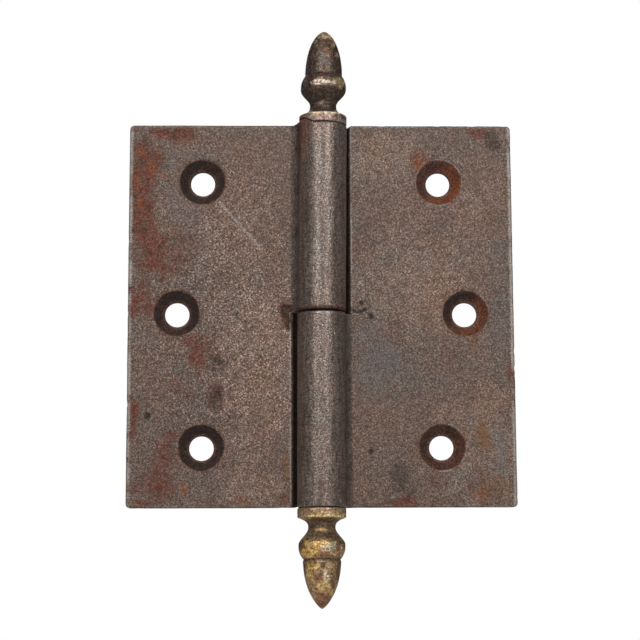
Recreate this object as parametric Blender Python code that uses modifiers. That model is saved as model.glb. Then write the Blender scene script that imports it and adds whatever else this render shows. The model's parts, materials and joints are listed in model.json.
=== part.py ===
"""A lift-off butt hinge with acorn finials, laid open flat.

Two cast-iron leaves are each cast in one piece with a knuckle: the frame leaf with the lower one and the
door leaf with the upper one. A steel pintle stands in the lower knuckle, and the upper knuckle drops over
it, so the door leaf turns on the pintle and also lifts off it. A turned collar and an acorn finial close
the outer end of each knuckle.

Metres, +Z up. The pintle's axis is vertical, the countersunk faces look along -Y, and the frame leaf
stands on the +X side. The origin is the centre of the frame leaf's back face.
"""

import math

import bmesh
import bpy
from mathutils import Vector

MM = 0.001

# Leaves
LEAF_HEIGHT = 101.6 * MM
LEAF_REACH = 50.8 * MM  # from the pintle's axis to the leaf's outer edge
LEAF_THICKNESS = 3.6 * MM
FACE_SETBACK = 1.1 * MM  # from the pintle's axis back to the countersunk face
FRAME_CUT_BACK = 7.5 * MM  # from the axis to the edge that clears the other leaf's knuckle, at the face
DOOR_CUT_BACK = 7.7 * MM
LIP_REACH = 6.2 * MM  # that edge is hollowed to follow the knuckle, and its lip at the back comes this near
CORNER_RADIUS = 1.0 * MM
EDGE_ROUNDING = 0.3 * MM

# Screw holes, in a zigzag: the middle hole stands farther out than the other two
HOLE_RADIUS = 3.2 * MM
COUNTERSINK_RADIUS = 6.1 * MM
COUNTERSINK_DEPTH = 3.2 * MM
OUTER_HOLE_X = 31.4 * MM
OUTER_HOLE_Z = 35.3 * MM
MIDDLE_HOLE_X = 38.0 * MM

# Knuckles
KNUCKLE_RADIUS = 6.35 * MM
KNUCKLE_PROUD = 0.1 * MM  # how far a knuckle's outer end stands past its leaf
KNUCKLE_GAP = 0.4 * MM  # between the two knuckles' bearing ends
NOTCH_RELIEF = 0.3 * MM  # the leaf stands this far below its knuckle's bearing end
NOTCH_ALLOWANCE = 0.05 * MM  # left on the notch's floor for the cutter that hollows the edge
KNUCKLE_ROUNDING = 0.4 * MM
FRONT_FILLET = 2.0 * MM
BACK_FILLET = 1.0 * MM
FILLET_SINK = 0.03 * MM  # a fillet dips this far into the leaf, so that the two bodies cross
WEB_INSET = 2.0 * MM  # how far the leaf runs into its knuckle
BORE_RADIUS = 3.3 * MM

# Pintle
PIN_RADIUS = 3.1 * MM
PIN_DEPTH = 38.0 * MM  # into the lower knuckle
PIN_RISE = 34.0 * MM  # above the middle of the hinge
PIN_CHAMFER = 0.8 * MM

# Collars and finials: distances are measured outwards from the knuckle's end
SEAT_GAP = 0.2 * MM
COLLAR_RADIUS = 6.2 * MM
COLLAR_BORE = 3.4 * MM
COLLAR_LENGTH = 2.4 * MM
COLLAR_ROUNDING = 0.3 * MM
SHANK_RADIUS = 3.0 * MM
SHANK_LENGTH = 12.0 * MM
FOOT_RADIUS = 5.9 * MM
NECK_RADIUS = 3.5 * MM
CUP_RADIUS = 6.05 * MM
RIM_RADIUS = 4.95 * MM
FOOT_POWER = 3.0  # how sharply the foot flares from the neck

# The two acorns were turned by eye. "power" shapes the nut: half an ellipse at 0.5, more pointed above it
UPPER_ACORN = {
    "neck": 5.7 * MM,
    "cup_from": 10.0 * MM,
    "cup_to": 10.7 * MM,
    "rim": 13.8 * MM,
    "tip": 26.2 * MM,
    "power": 0.56,
}
LOWER_ACORN = {
    "neck": 5.2 * MM,
    "cup_from": 9.6 * MM,
    "cup_to": 10.2 * MM,
    "rim": 13.2 * MM,
    "tip": 25.8 * MM,
    "power": 0.72,
}

ROUND_STEPS = 64
HOLE_STEPS = 48
RELIEF_STEPS = 72
FINIAL_STEPS = 36
CUTTER_OVERRUN = 2.0 * MM

# Colour, roughness and metallic value of each material
CAST_IRON = ((0.115, 0.092, 0.080, 1.0), 0.62, 0.85)
STEEL = ((0.42, 0.41, 0.40, 1.0), 0.38, 1.0)
AGED_BRASS = ((0.26, 0.185, 0.095, 1.0), 0.42, 1.0)
COPPERY_BRASS = ((0.36, 0.25, 0.19, 1.0), 0.45, 1.0)

AXIS_PLACE = Vector((-LEAF_REACH / 2, -FACE_SETBACK - LEAF_THICKNESS, 0.0))
KNUCKLE_END = LEAF_HEIGHT / 2 + KNUCKLE_PROUD
NOTCH_FLOOR = -KNUCKLE_GAP / 2 - NOTCH_RELIEF


def clear_scene():
    for item in list(bpy.data.objects):
        bpy.data.objects.remove(item, do_unlink=True)


def new_collection(name):
    collection = bpy.data.collections.new(name)
    bpy.context.scene.collection.children.link(collection)
    return collection


def new_material(name, colour, roughness, metallic):
    material = bpy.data.materials.new(name)
    material.use_nodes = True
    shader = material.node_tree.nodes["Principled BSDF"]
    shader.inputs["Base Color"].default_value = colour
    shader.inputs["Roughness"].default_value = roughness
    shader.inputs["Metallic"].default_value = metallic
    return material


def add_object(name, data, collection, parent=None):
    item = bpy.data.objects.new(name, data)
    collection.objects.link(item)
    item.parent = parent
    return item


def finish_part(item, look):
    """Gives a part its own material and smooth shading with crisp edges."""
    item.data.materials.clear()
    item.data.materials.append(new_material(item.name, *look))
    item.data.shade_smooth()
    item.data.set_sharp_from_angle(angle=math.radians(35))


def as_cutter(item):
    item.hide_render = True
    item.display_type = "WIRE"
    return item


def arc(centre, radius, start, end, steps):
    """Points on a circle's arc from start to end, in degrees, both ends included."""
    points = []
    for i in range(steps + 1):
        angle = math.radians(start + (end - start) * i / steps)
        points.append((centre[0] + radius * math.cos(angle), centre[1] + radius * math.sin(angle)))
    return points


def turned(name, profile, steps, collection, parent=None, closed=False):
    """A solid turned about Z from (radius, height) points that run down its outer side."""
    mesh = bpy.data.meshes.new(name)
    shape = bmesh.new()
    corners = [shape.verts.new((radius, 0.0, height)) for radius, height in profile]
    for upper, lower in zip(corners, corners[1:]):
        shape.edges.new((upper, lower))
    if closed:
        shape.edges.new((corners[-1], corners[0]))
    shape.to_mesh(mesh)
    shape.free()
    item = add_object(name, mesh, collection, parent)
    screw = item.modifiers.new("Turn", "SCREW")
    screw.axis = "Z"
    screw.steps = steps
    screw.render_steps = steps
    screw.use_merge_vertices = True
    screw.merge_threshold = 0.00001
    return item


def extruded(name, outline, length, collection, parent):
    """A flat outline in the object's own XY plane, pulled to both sides of it along Z, as a mesh."""
    curve = bpy.data.curves.new(name, "CURVE")
    curve.dimensions = "2D"
    curve.fill_mode = "BOTH"
    curve.extrude = length / 2
    spline = curve.splines.new("POLY")
    spline.points.add(len(outline) - 1)
    for point, (x, y) in zip(spline.points, outline):
        point.co = (x, y, 0.0, 1.0)
    spline.use_cyclic_u = True
    drawn = add_object(name + "_outline", curve, collection)
    bpy.context.view_layer.update()
    graph = bpy.context.evaluated_depsgraph_get()
    mesh = bpy.data.meshes.new_from_object(drawn.evaluated_get(graph))
    mesh.name = name
    item = add_object(name, mesh, collection, parent)
    item.matrix_basis = drawn.matrix_world
    bpy.data.objects.remove(drawn, do_unlink=True)
    shape = bmesh.new()
    shape.from_mesh(mesh)
    bmesh.ops.remove_doubles(shape, verts=shape.verts, dist=0.000001)
    bmesh.ops.recalc_face_normals(shape, faces=shape.faces)
    shape.to_mesh(mesh)
    shape.free()
    return item


def add_bevel(item, width, segments):
    bevel = item.modifiers.new("Rounded edges", "BEVEL")
    bevel.width = width
    bevel.segments = segments
    bevel.limit_method = "ANGLE"
    bevel.angle_limit = math.radians(50)


def add_boolean(item, other, operation):
    boolean = item.modifiers.new(operation.title() + " " + other.name, "BOOLEAN")
    boolean.operation = operation
    boolean.object = other
    boolean.solver = "EXACT"


def leaf_outline():
    """The leaf seen from the front: a rectangle with rounded corners, notched above its own knuckle."""
    top = LEAF_HEIGHT / 2
    notch = NOTCH_FLOOR + NOTCH_ALLOWANCE
    inner = KNUCKLE_RADIUS - WEB_INSET
    corner = LEAF_REACH - CORNER_RADIUS
    outline = [(inner, -top)]
    outline += arc((corner, CORNER_RADIUS - top), CORNER_RADIUS, -90, 0, 5)
    outline += arc((corner, top - CORNER_RADIUS), CORNER_RADIUS, 0, 90, 5)
    outline += [(LIP_REACH, top), (LIP_REACH, notch), (inner, notch)]
    return outline


def knuckle_outline():
    """The knuckle in section, with the fillets that carry it into the leaf, front and back."""
    front = FACE_SETBACK - FRONT_FILLET + FILLET_SINK
    front_reach = KNUCKLE_RADIUS + FRONT_FILLET
    front_x = math.sqrt(front_reach**2 - front**2)
    front_angle = math.degrees(math.atan2(front, front_x))
    back = FACE_SETBACK + LEAF_THICKNESS + BACK_FILLET - FILLET_SINK
    back_reach = KNUCKLE_RADIUS + BACK_FILLET
    back_x = math.sqrt(back_reach**2 - back**2)
    back_angle = math.degrees(math.atan2(back, back_x))
    outline = arc((0.0, 0.0), KNUCKLE_RADIUS, back_angle, 360 + front_angle, ROUND_STEPS)
    outline += arc((front_x, front), FRONT_FILLET, 180 + front_angle, 90, 7)[1:]
    outline += [(front_x, FACE_SETBACK + LEAF_THICKNESS / 2)]
    outline += arc((back_x, back), BACK_FILLET, 270, 180 + back_angle, 4)[:-1]
    return outline


def screw_hole_profile():
    """The tool that drills and countersinks one hole. Its own +Z points out of the leaf's face."""
    slope = (COUNTERSINK_RADIUS - HOLE_RADIUS) / COUNTERSINK_DEPTH
    wide = COUNTERSINK_RADIUS + slope * CUTTER_OVERRUN
    back = -LEAF_THICKNESS - CUTTER_OVERRUN
    return [
        (0.0, CUTTER_OVERRUN),
        (wide, CUTTER_OVERRUN),
        (HOLE_RADIUS, -COUNTERSINK_DEPTH),
        (HOLE_RADIUS, back),
        (0.0, back),
    ]


def make_leaf(name, cut_back, parts, cutters, side):
    """A leaf with its knuckle on the lower half, in the frame of its side of the hinge."""
    leaf = extruded(name, leaf_outline(), LEAF_THICKNESS, parts, side)
    leaf.location = (0.0, FACE_SETBACK + LEAF_THICKNESS / 2, 0.0)
    leaf.rotation_euler = (math.radians(90), 0.0, 0.0)
    add_bevel(leaf, EDGE_ROUNDING, 2)

    radius = math.hypot(cut_back, FACE_SETBACK)
    high = LEAF_HEIGHT / 2 + CUTTER_OVERRUN
    hollow = [(0.0, high), (radius, high), (radius, NOTCH_FLOOR), (0.0, NOTCH_FLOOR)]
    relief = turned(name + "_relief", hollow, RELIEF_STEPS, cutters, side)
    add_boolean(leaf, as_cutter(relief), "DIFFERENCE")

    bearing_end = -KNUCKLE_GAP / 2
    length = KNUCKLE_END + bearing_end
    knuckle = extruded(name + "_knuckle", knuckle_outline(), length, cutters, side)
    knuckle.location = (0.0, 0.0, bearing_end - length / 2)
    add_bevel(knuckle, KNUCKLE_ROUNDING, 2)
    add_boolean(leaf, as_cutter(knuckle), "UNION")

    holes = ((OUTER_HOLE_X, OUTER_HOLE_Z), (MIDDLE_HOLE_X, 0.0), (OUTER_HOLE_X, -OUTER_HOLE_Z))
    for number, (x, z) in enumerate(holes, start=1):
        drill = turned(f"{name}_hole_{number}", screw_hole_profile(), HOLE_STEPS, cutters, side)
        drill.location = (x, FACE_SETBACK, z)
        drill.rotation_euler = (math.radians(90), 0.0, 0.0)
        add_boolean(leaf, as_cutter(drill), "DIFFERENCE")

    top = CUTTER_OVERRUN
    bottom = -KNUCKLE_END - CUTTER_OVERRUN
    bore = [(0.0, top), (BORE_RADIUS, top), (BORE_RADIUS, bottom), (0.0, bottom)]
    reamer = turned(name + "_bore", bore, HOLE_STEPS, cutters, side)
    add_boolean(leaf, as_cutter(reamer), "DIFFERENCE")
    finish_part(leaf, CAST_IRON)


def make_pintle(name, parts, parent):
    """A plain round pin, chamfered at both ends."""
    shoulder = PIN_RADIUS - PIN_CHAMFER
    profile = [
        (0.0, PIN_RISE),
        (shoulder, PIN_RISE),
        (PIN_RADIUS, PIN_RISE - PIN_CHAMFER),
        (PIN_RADIUS, PIN_CHAMFER - PIN_DEPTH),
        (shoulder, -PIN_DEPTH),
        (0.0, -PIN_DEPTH),
    ]
    pin = turned(name, profile, HOLE_STEPS, parts, parent)
    finish_part(pin, STEEL)


def make_collar(name, parts, side):
    """A turned ring between the knuckle's outer end and the finial."""
    top = -KNUCKLE_END - SEAT_GAP
    bottom = top - COLLAR_LENGTH
    ring = [(COLLAR_RADIUS, top), (COLLAR_RADIUS, bottom), (COLLAR_BORE, bottom), (COLLAR_BORE, top)]
    collar = turned(name, ring, HOLE_STEPS, parts, side, closed=True)
    add_bevel(collar, COLLAR_ROUNDING, 1)
    finish_part(collar, COPPERY_BRASS)


def finial_profile(acorn):
    """(radius, distance) of the acorn: foot, neck, cup and nut, out to the tip."""
    foot_at = COLLAR_LENGTH + 2 * SEAT_GAP
    neck_at = acorn["neck"]
    rim_at = acorn["rim"]
    points = []
    for i in range(6):
        share = 1 - i / 6
        radius = NECK_RADIUS + (FOOT_RADIUS - NECK_RADIUS) * share**FOOT_POWER
        points.append((radius, neck_at - (neck_at - foot_at) * share))
    for i in range(9):
        share = i / 8
        rise = (1 - math.cos(math.pi * share)) / 2
        radius = NECK_RADIUS + (CUP_RADIUS - NECK_RADIUS) * rise
        points.append((radius, neck_at + (acorn["cup_from"] - neck_at) * share))
    for i in range(6):
        share = i / 5
        radius = CUP_RADIUS - (CUP_RADIUS - RIM_RADIUS) * share**2
        points.append((radius, acorn["cup_to"] + (rim_at - acorn["cup_to"]) * share))
    for i in range(1, 13):
        share = math.sin(math.pi / 2 * i / 12)
        radius = RIM_RADIUS * (1 - share**2) ** acorn["power"] if i < 12 else 0.0
        points.append((radius, rim_at + (acorn["tip"] - rim_at) * share))
    return points


def make_finial(name, acorn, parts, side):
    """A turned acorn whose shank goes up into the knuckle's bore."""
    foot_at = COLLAR_LENGTH + 2 * SEAT_GAP
    shank_top = -KNUCKLE_END + SHANK_LENGTH
    foot = -KNUCKLE_END - foot_at
    profile = [(0.0, shank_top), (SHANK_RADIUS, shank_top), (SHANK_RADIUS, foot)]
    for radius, distance in finial_profile(acorn):
        profile.append((radius, -KNUCKLE_END - distance))
    finial = turned(name, profile, FINIAL_STEPS, parts, side)
    finish_part(finial, AGED_BRASS)


def main():
    clear_scene()
    parts = new_collection("lift_off_butt_hinge")
    cutters = new_collection("cutters")

    axis = add_object("swing_axis", None, parts)
    axis.location = AXIS_PLACE
    frame_side = add_object("frame_side", None, parts, axis)
    door_side = add_object("door_side", None, parts, axis)
    door_side.rotation_euler = (0.0, math.pi, 0.0)

    make_leaf("frame_leaf", FRAME_CUT_BACK, parts, cutters, frame_side)
    make_collar("lower_collar", parts, frame_side)
    make_finial("lower_finial", LOWER_ACORN, parts, frame_side)
    make_pintle("pintle_pin", parts, axis)
    make_leaf("door_leaf", DOOR_CUT_BACK, parts, cutters, door_side)
    make_collar("upper_collar", parts, door_side)
    make_finial("upper_finial", UPPER_ACORN, parts, door_side)


main()
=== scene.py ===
"""The looks of a lift-off butt hinge with acorn finials: worn cast iron, a steel pintle and old brass.

Each half of the hinge is made in its own frame, in metres: the pintle's axis is the origin, the leaf
reaches out along +X, its countersunk face looks along -Y and its knuckle fills the lower half. The frame
side stands like that in the row frame, and the door side is the same turned half a turn about Y.
"""

import itertools
import json
import math

import bmesh
import bpy
import numpy as np
from mathutils import Matrix, Vector
from mathutils.geometry import delaunay_2d_cdt


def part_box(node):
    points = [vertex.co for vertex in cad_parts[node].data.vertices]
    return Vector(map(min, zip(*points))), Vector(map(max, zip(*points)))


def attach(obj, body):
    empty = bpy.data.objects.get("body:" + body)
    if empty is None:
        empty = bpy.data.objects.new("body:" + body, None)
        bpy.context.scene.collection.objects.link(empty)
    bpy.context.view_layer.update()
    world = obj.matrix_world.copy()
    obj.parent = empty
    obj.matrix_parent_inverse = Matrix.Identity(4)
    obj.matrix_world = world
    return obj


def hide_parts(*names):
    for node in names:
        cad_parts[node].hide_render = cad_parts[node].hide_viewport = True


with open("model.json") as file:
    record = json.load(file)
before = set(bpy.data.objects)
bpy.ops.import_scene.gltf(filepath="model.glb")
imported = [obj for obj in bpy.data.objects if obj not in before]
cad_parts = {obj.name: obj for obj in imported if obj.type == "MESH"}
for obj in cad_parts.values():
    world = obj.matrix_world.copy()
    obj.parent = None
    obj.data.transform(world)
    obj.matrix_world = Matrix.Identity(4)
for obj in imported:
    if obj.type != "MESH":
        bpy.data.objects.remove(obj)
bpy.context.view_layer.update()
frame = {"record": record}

MM = 0.001


def box_of(node):
    low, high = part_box(node)
    return np.array(low), np.array(high)


PIN_LOW, PIN_HIGH = box_of("pintle_pin")
LEAF_LOW, LEAF_HIGH = box_of("frame_leaf")
AXIS = (PIN_LOW + PIN_HIGH) / 2 * (1, 1, 0)
BACK_Y = frame["record"]["mounts"][0]["pos_m"][1] - AXIS[1]

# Sizes of a half, from the frame and from the castings themselves
REACH = LEAF_HIGH[0] - AXIS[0]
TOP = LEAF_HIGH[2]
THICKNESS = 3.6 * MM
FACE_Y = BACK_Y - THICKNESS
KNUCKLE_RADIUS = AXIS[0] - LEAF_LOW[0]
KNUCKLE_END = -LEAF_LOW[2]
BORE_RADIUS = 3.3 * MM
HOLE_RADIUS = 3.2 * MM
COUNTERSINK_RADIUS = 6.1 * MM
COUNTERSINK_DEPTH = 3.2 * MM
WEB_X = 4.35 * MM  # how near the axis a leaf's slab ends, inside its knuckle
NOTCH_FLOOR = -0.5 * MM
LIP_REACH = 6.05 * MM  # how near the axis the hollowed edge's lip comes, at the back

# A leaf is cut back from the other knuckle. Its own knuckle ends at "end", rises by "lift" beside the leaf,
# and leans over by "lean" along the row frame's X
SIDES = {
    "frame": {
        "turn": 1, "cut_back": 7.5 * MM, "seed": 11,
        "end": KNUCKLE_END, "lift": 0.0, "lean": -0.15 * MM,
    },
    "door": {
        "turn": -1, "cut_back": 7.7 * MM, "seed": 47,
        "end": KNUCKLE_END - 0.75 * MM, "lift": 1.45 * MM, "lean": 0.6 * MM,
    },
}

HASH_PRIMES = (73856093, 19349663, 83492791, 15485863)  # for x, y, z and the seed
HASH_MIX = 1274126177


# ---- numbers


def ease(low, high, value):
    """A smooth rise from 0 to 1 between two ends. ease_mm takes the ends in millimetres."""
    share = np.clip((value - low) / (high - low), 0.0, 1.0)
    return share * share * (3 - 2 * share)


def ease_mm(low, high, value):
    return ease(low * MM, high * MM, value)


def lattice_noise(points, cell, seed):
    """A smooth random field from -1 to 1 whose features are about one cell wide."""
    grid = points / cell
    base = np.floor(grid).astype(np.int64)
    part = grid - base
    part = part * part * (3 - 2 * part)
    total = np.zeros(len(points))
    for corner in itertools.product((0, 1), repeat=3):
        x, y, z = ((base + corner) * HASH_PRIMES[:3]).T
        mixed = x ^ y ^ z ^ seed * HASH_PRIMES[3]
        mixed = (mixed ^ (mixed >> 13)) * HASH_MIX
        value = ((mixed ^ (mixed >> 16)) & 0xFFFF) / 32767.5 - 1
        weight = np.prod(np.where(corner, part, 1 - part), axis=1)
        total += weight * value
    return total


def noise(points, cell, seed, octaves):
    """Layers of random field from -1 to 1, the widest with features about this many millimetres wide."""
    total = np.zeros(len(points))
    reach = 0.0
    for octave in range(octaves):
        weight = 0.5**octave
        total += weight * lattice_noise(points, cell * MM * weight, seed + octave)
        reach += weight
    return total / reach


def to_row(points, side):
    """Points of a half in its own frame, placed in the row frame."""
    turn = SIDES[side]["turn"]
    return points * (turn, 1, turn) + AXIS


# ---- meshes


def linked(name, data):
    item = bpy.data.objects.new(name, data)
    bpy.context.scene.collection.objects.link(item)
    return item


def new_object(name, points, faces):
    mesh = bpy.data.meshes.new(name)
    mesh.from_pydata(points.tolist(), [], faces)
    shape = bmesh.new()
    shape.from_mesh(mesh)
    bmesh.ops.remove_doubles(shape, verts=shape.verts, dist=1e-6)
    bmesh.ops.recalc_face_normals(shape, faces=shape.faces)
    if shape.calc_volume(signed=True) < 0:
        bmesh.ops.reverse_faces(shape, faces=shape.faces)
    shape.to_mesh(mesh)
    shape.free()
    mesh.shade_smooth()
    return linked(name, mesh)


def read(items, name):
    flat = np.empty(len(items) * 3)
    items.foreach_get(name, flat)
    return flat.reshape(-1, 3)


def positions(item):
    return read(item.data.vertices, "co")


def set_positions(item, points):
    item.data.vertices.foreach_set("co", np.asarray(points, np.float32).ravel())
    item.data.update()


def vertex_normals(item):
    return read(item.data.vertex_normals, "vector")


def radii(points):
    return np.hypot(points[:, 0], points[:, 1])


def paint(item, **masks):
    """Keeps masks from 0 to 1 on the mesh, for the material to read."""
    for name, values in masks.items():
        layer = item.data.attributes.new(name, "FLOAT", "POINT")
        layer.data.foreach_set("value", np.clip(values, 0, 1).astype(np.float32))


def grid_faces(rows, columns, wrap_rows=False):
    """Quads between rows of points, each row a closed ring."""
    faces = []
    for i in range(rows if wrap_rows else rows - 1):
        for j in range(columns):
            here, above, k = i * columns, (i + 1) % rows * columns, (j + 1) % columns
            faces.append((here + j, here + k, above + k, above + j))
    return faces


def arc_points(centre, radius, start, end, steps):
    angles = np.radians(np.linspace(start, end, steps + 1))
    return np.stack([centre[0] + radius * np.cos(angles), centre[1] + radius * np.sin(angles)], 1)


def round_over(radius, steps):
    """A rounded edge as (how far in, how far along), from the end face to the side."""
    angles = np.radians(np.linspace(0, 90, steps))
    return [(radius * (1 - math.sin(a)), radius * (1 - math.cos(a))) for a in angles]


def fill_line(points, spacing, closed):
    """The same outline with points added so that none lie farther apart than the spacing."""
    ends = np.roll(points, -1, axis=0) if closed else points[1:]
    filled = []
    for start, end in zip(points, ends):
        steps = max(1, math.ceil(np.linalg.norm(end[:2] - start[:2]) / spacing - 0.01))
        for step in range(steps):
            filled.append(start + (end - start) * step / steps)
    if not closed:
        filled.append(points[-1])
    return np.array(filled)


def rounded_loop(corners, spacing):
    """Points along an anticlockwise outline and its outward normals, from (x, z, corner radius)."""
    rows = []
    for i, (x, z, radius) in enumerate(corners):
        here = np.array((x, z))
        coming = here - np.array(corners[i - 1][:2])
        going = np.array(corners[(i + 1) % len(corners)][:2]) - here
        coming /= np.linalg.norm(coming)
        going /= np.linalg.norm(going)
        turn = math.atan2(coming[0] * going[1] - coming[1] * going[0], coming @ going)
        convex = 1 if turn > 0 else -1
        start = here - coming * radius * math.tan(abs(turn) / 2)
        outward = np.array((coming[1], -coming[0]))
        centre = start - outward * radius * convex
        steps = max(3, math.ceil(radius * abs(turn) / spacing))
        for angle in np.linspace(0, turn, steps + 1):
            cos, sin = math.cos(angle), math.sin(angle)
            normal = np.array((cos * outward[0] - sin * outward[1], sin * outward[0] + cos * outward[1]))
            rows.append(np.concatenate([centre + normal * radius * convex, normal]))
    filled = fill_line(np.array(rows), spacing, closed=True)
    return filled[:, :2], filled[:, 2:]


# ---- leaves

FACE_SPACING = 0.42 * MM
BACK_SPACING = 0.85 * MM
EDGE_SPACING = 0.4 * MM
FRONT_EDGE = 0.5 * MM
BACK_EDGE = 0.35 * MM
RIM_SOFTNESS = 0.16 * MM
BACK_RIM = 0.15 * MM
HOLE_STEPS = 80
UNEVENNESS = 0.16  # how far a grid's points stray, as a share of its spacing
FLAT_WITHIN = 0.002 * MM
FRONT_RINGS = np.array((3.2, 3.7, 4.2, 4.7, 5.2, 5.6, 5.9, 6.05, 6.2, 6.4, 6.7)) * MM
BACK_RINGS = np.array((3.35, 3.8, 4.5)) * MM


def screw_holes(side):
    """Centres (x, z) of a leaf's screw holes, in its own frame."""
    centres = []
    for opening in frame["record"]["physics"]["openings"]:
        if opening["name"].startswith(side):
            middle = np.mean(opening["box_m"], axis=0)
            centres.append((middle - AXIS)[[0, 2]] * SIDES[side]["turn"])
    return centres


def leaf_corners(side):
    """The leaf's outline at its face, with its corner radii, notched above its own knuckle."""
    cut_back = SIDES[side]["cut_back"]
    far_edge = [(REACH, -TOP, MM), (REACH, TOP, 1.1 * MM)]
    clearing_edge = [(cut_back, TOP, 0.9 * MM), (cut_back, NOTCH_FLOOR, 0.3 * MM)]
    return far_edge + clearing_edge + [(WEB_X, NOTCH_FLOOR, 0.6 * MM), (WEB_X, -TOP, 0.6 * MM)]


def hollowed(points, side):
    """The slab with its clearing edge drawn in towards the back, so that it follows the other knuckle."""
    cut_back = SIDES[side]["cut_back"]
    x, y, z = points.T
    depth = np.clip((y - FACE_Y) / (THICKNESS - BACK_EDGE), 0, 1)
    near = ease(cut_back + 1.8 * MM, cut_back, x)
    near *= ease(NOTCH_FLOOR + 0.01 * MM, NOTCH_FLOOR + 0.05 * MM, z)
    return np.stack([x - (cut_back - LIP_REACH) * depth**1.4 * near, y, z], 1)


def countersink(distance):
    """How deep the face lies at this distance from a screw hole's centre, with a softened rim."""
    slope = COUNTERSINK_DEPTH / (COUNTERSINK_RADIUS - HOLE_RADIUS)
    cone = (COUNTERSINK_RADIUS - distance) * slope
    return (cone + np.sqrt(cone**2 + RIM_SOFTNESS**2)) / 2


def scattered(side, spacing, clear_edge, clear_hole):
    """Points of a slightly uneven hexagonal grid over the leaf, clear of its edges and holes."""
    half = SIDES[side]
    spread = np.random.default_rng(half["seed"])
    x, z = np.meshgrid(np.arange(WEB_X, REACH, spacing), np.arange(-TOP, TOP, spacing * 0.87))
    x[1::2] += spacing / 2
    points = np.stack([x.ravel(), z.ravel()], 1)
    points += spread.uniform(-UNEVENNESS, UNEVENNESS, points.shape) * spacing
    x, z = points.T
    inside = (x < REACH - clear_edge) & (abs(z) < TOP - clear_edge) & (x > WEB_X + clear_edge)
    inside &= (x > half["cut_back"] + clear_edge) | (z < NOTCH_FLOOR - clear_edge)
    for centre in screw_holes(side):
        inside &= np.linalg.norm(points - centre, axis=1) > clear_hole
    return points[inside]


def circle_points(steps):
    angles = np.linspace(0, 2 * math.pi, steps, endpoint=False)
    return np.stack([np.cos(angles), np.sin(angles)], 1)


def ring_points(centre, radius):
    return centre + radius * circle_points(HOLE_STEPS)


def face_patch(boundary, rings, loose):
    """Triangles over a leaf's face, between its outline and its holes. The first ring bounds each hole."""
    loops = [boundary] + [ring[0] for ring in rings]
    points, edges = [], []
    for loop in loops:
        start = len(points)
        points.extend(loop)
        edges += [(start + i, start + (i + 1) % len(loop)) for i in range(len(loop))]
    for ring in rings:
        for circle in ring[1:]:
            points.extend(circle)
    points.extend(loose)
    scaled = [Vector(p) / MM for p in points]
    found, _, triangles, _, _, _ = delaunay_2d_cdt(scaled, edges, [], 1, 1e-5)
    found = np.array([tuple(p) for p in found]) * MM
    middles = found[np.array(triangles)].mean(axis=1)
    solid = np.ones(len(triangles), bool)
    for ring in rings:
        centre = ring[0].mean(axis=0)
        solid &= np.linalg.norm(middles - centre, axis=1) > np.linalg.norm(ring[0][0] - centre)
    return found, [triangle for triangle, kept in zip(triangles, solid) if kept]


def upright(plan, y):
    """Places (x, z) stood up at a depth y."""
    return np.insert(plan, 1, y, axis=1)


def slab(side):
    """A leaf without its knuckle, as one closed body: two faces, the outer edge and the holes' walls."""
    outline, normals = rounded_loop(leaf_corners(side), EDGE_SPACING)
    holes = screw_holes(side)
    points, faces = [], []

    def add(new_points, new_faces):
        start = sum(map(len, points))
        points.append(new_points)
        faces.extend(tuple(start + i for i in face) for face in new_faces)

    def patch(spacing, inset, clear, radii):
        rings = [[ring_points(centre, radius) for radius in radii] for centre in holes]
        loose = scattered(side, spacing, inset + clear, radii[-1] + clear)
        return face_patch(outline - normals * inset, rings, loose)

    flat, triangles = patch(FACE_SPACING, FRONT_EDGE, 0.3 * MM, FRONT_RINGS)
    depth = np.zeros(len(flat))
    for centre in holes:
        depth = np.maximum(depth, countersink(np.linalg.norm(flat - centre, axis=1)))
    depth[depth < FLAT_WITHIN] = 0.0
    add(upright(flat, FACE_Y + depth), triangles)
    flat, triangles = patch(BACK_SPACING, BACK_EDGE, 0.5 * MM, BACK_RINGS)
    add(upright(flat, BACK_Y), triangles)

    rows = round_over(FRONT_EDGE, 6)
    for share in np.linspace(0, 1, 8)[1:-1]:
        rows.append((0.0, FRONT_EDGE + (THICKNESS - FRONT_EDGE - BACK_EDGE) * share))
    rows += [(inset, THICKNESS - rise) for inset, rise in reversed(round_over(BACK_EDGE, 5))]
    wall = [upright(outline - normals * inset, FACE_Y + depth) for inset, depth in rows]
    add(np.concatenate(wall), grid_faces(len(rows), len(outline)))

    top_of_wall = float(countersink(np.array(HOLE_RADIUS)))
    rows = [(HOLE_RADIUS, top_of_wall), (HOLE_RADIUS, THICKNESS - BACK_RIM), (BACK_RINGS[0], THICKNESS)]
    for centre in holes:
        wall = [upright(ring_points(centre, radius), FACE_Y + depth) for radius, depth in rows]
        add(np.concatenate(wall), grid_faces(len(rows), HOLE_STEPS))
    return new_object(side + "_slab", hollowed(np.concatenate(points), side), faces)


# ---- knuckles

KNUCKLE_STEPS = 92
KNUCKLE_ROW = 0.5 * MM
END_ROUNDING = 0.55 * MM
BEARING_END = -0.2 * MM
FRONT_FILLET = 2.0 * MM
BACK_FILLET = MM
FILLET_SINK = 0.04 * MM


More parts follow.
